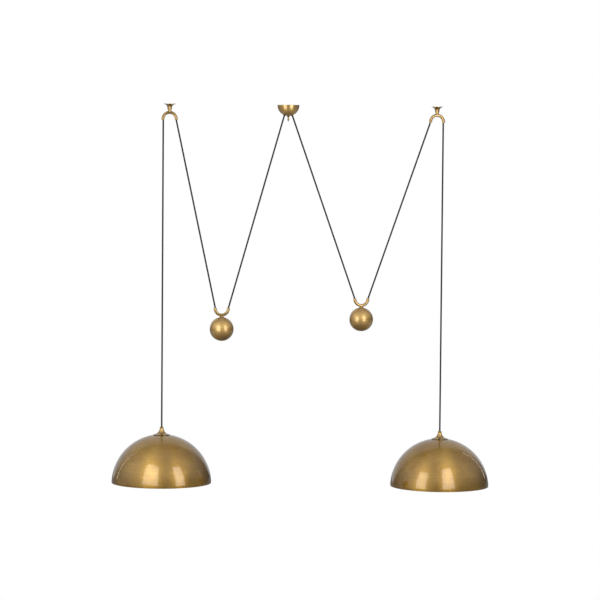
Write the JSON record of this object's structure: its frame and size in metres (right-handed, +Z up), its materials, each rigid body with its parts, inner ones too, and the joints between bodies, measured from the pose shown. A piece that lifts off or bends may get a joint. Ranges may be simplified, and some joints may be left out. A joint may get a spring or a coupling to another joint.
{
  "type": "rise and fall pendant",
  "caption": "Ceiling pendant with dome shades on textile cords, each led over a ceiling hook and balanced by a solid ball that slides on the cord.",
  "frame": {"origin": "middle of the canopy's bracket on the ceiling plane", "axes": "+Z up into the ceiling; X along the line of the canopy and the two hooks, +X towards the farther hook; Y across it"},
  "size_m": [1.3825, 0.36, 1.389],
  "materials": {
    "brass_spun": "spun, fine turning lines, clear lacquer",
    "brass_bright": "turned and polished",
    "black_brass": "blackened",
    "steel_zinc": "zinc plated",
    "black_nylon": "moulded",
    "housing_nylon": "moulded",
    "porcelain": "glazed",
    "textile_cord": "braided textile sleeve"
  },
  "bodies": {
    "ceiling_set": {"canopy_bowl": "brass_spun", "cord_bushings": "black_nylon", "ceiling_bracket": "steel_zinc", "earth_screw": "steel_zinc", "terminal_housing": "housing_nylon", "terminal_screws": "steel_zinc", "canopy_rod": "steel_zinc", "rod_nut": "steel_zinc", "canopy_washer": "black_brass", "finial_knob": "brass_bright", "left_supply_tail": "textile_cord", "left_hook_flange": "brass_bright", "left_hook_stem": "brass_bright", "left_hook_tube": "brass_bright", "left_hook_cord": "textile_cord", "right_supply_tail": "textile_cord", "right_hook_flange": "brass_bright", "right_hook_stem": "brass_bright", "right_hook_tube": "brass_bright", "right_hook_cord": "textile_cord"},
    "left_entry": {"left_drop_entry": "textile_cord"},
    "left_drop": {"left_drop_cord": "textile_cord"},
    "left_shade": {"left_shade_dome": "brass_spun", "left_cord_cone": "brass_bright", "left_threaded_tube": "steel_zinc", "left_dome_washer": "steel_zinc", "left_lock_nut": "steel_zinc", "left_lampholder_cap": "brass_bright", "left_lampholder_skirt": "brass_bright", "left_lampholder_insert": "porcelain", "left_screw_shell": "brass_bright", "left_centre_contact": "brass_bright", "left_cord_clamp": "black_nylon", "left_shade_tail": "textile_cord"},
    "left_loop": {"left_inner_leg": "textile_cord", "left_outer_leg": "textile_cord"},
    "left_weight": {"left_ball": "brass_spun", "left_yoke_stem": "brass_bright", "left_yoke_tube": "brass_bright", "left_yoke_cord": "textile_cord"},
    "right_entry": {"right_drop_entry": "textile_cord"},
    "right_drop": {"right_drop_cord": "textile_cord"},
    "right_shade": {"right_shade_dome": "brass_spun", "right_cord_cone": "brass_bright", "right_threaded_tube": "steel_zinc", "right_dome_washer": "steel_zinc", "right_lock_nut": "steel_zinc", "right_lampholder_cap": "brass_bright", "right_lampholder_skirt": "brass_bright", "right_lampholder_insert": "porcelain", "right_screw_shell": "brass_bright", "right_centre_contact": "brass_bright", "right_cord_clamp": "black_nylon", "right_shade_tail": "textile_cord"},
    "right_loop": {"right_inner_leg": "textile_cord", "right_outer_leg": "textile_cord"},
    "right_weight": {"right_ball": "brass_spun", "right_yoke_stem": "brass_bright", "right_yoke_tube": "brass_bright", "right_yoke_cord": "textile_cord"}
  },
  "joints": [
    {"name": "left_swing_out", "type": "hinge", "parent": "ceiling_set", "child": "left_entry", "pos_m": [-0.4528, 0, -0.0584], "axis": [1, 0, 0], "range_deg": [-5, 5], "deforming": ["left_drop_entry"]},
    {"name": "left_swing_along", "type": "hinge", "parent": "left_entry", "child": "left_drop", "pos_m": [-0.4528, 0, -0.0704], "axis": [0, 1, 0], "range_deg": [-5, 5]},
    {"name": "left_shade_travel", "type": "slide", "parent": "left_drop", "child": "left_shade", "axis": [0, 0, 1], "range_m": [-0.6, 0.2], "deforming": ["left_drop_cord"]},
    {"name": "left_weight_swing", "type": "hinge", "parent": "ceiling_set", "child": "left_loop", "pos_m": [-0.0145, 0, -0.03728], "axis": [-0.9987, 0, -0.0503], "range_deg": [-10, 10]},
    {"name": "left_weight_travel", "type": "slide", "parent": "left_loop", "child": "left_weight", "axis": [0, 0, 1], "range_m": [-0.115, 0.33], "deforming": ["left_inner_leg", "left_outer_leg"]},
    {"name": "right_swing_out", "type": "hinge", "parent": "ceiling_set", "child": "right_entry", "pos_m": [0.5698, 0, -0.0584], "axis": [1, 0, 0], "range_deg": [-5, 5], "deforming": ["right_drop_entry"]},
    {"name": "right_swing_along", "type": "hinge", "parent": "right_entry", "child": "right_drop", "pos_m": [0.5698, 0, -0.0704], "axis": [0, 1, 0], "range_deg": [-5, 5]},
    {"name": "right_shade_travel", "type": "slide", "parent": "right_drop", "child": "right_shade", "axis": [0, 0, 1], "range_m": [-0.5, 0.3], "deforming": ["right_drop_cord"]},
    {"name": "right_weight_swing", "type": "hinge", "parent": "ceiling_set", "child": "right_loop", "pos_m": [0.0145, 0, -0.03728], "axis": [0.9992, 0, -0.0388], "range_deg": [-10, 10]},
    {"name": "right_weight_travel", "type": "slide", "parent": "right_loop", "child": "right_weight", "axis": [0, 0, 1], "range_m": [-0.17, 0.28], "deforming": ["right_inner_leg", "right_outer_leg"]}
  ],
  "couplings": [
    {"joint": "left_weight_travel", "follows": "left_shade_travel", "ratio": -0.524},
    {"joint": "right_weight_travel", "follows": "right_shade_travel", "ratio": -0.542}
  ]
}
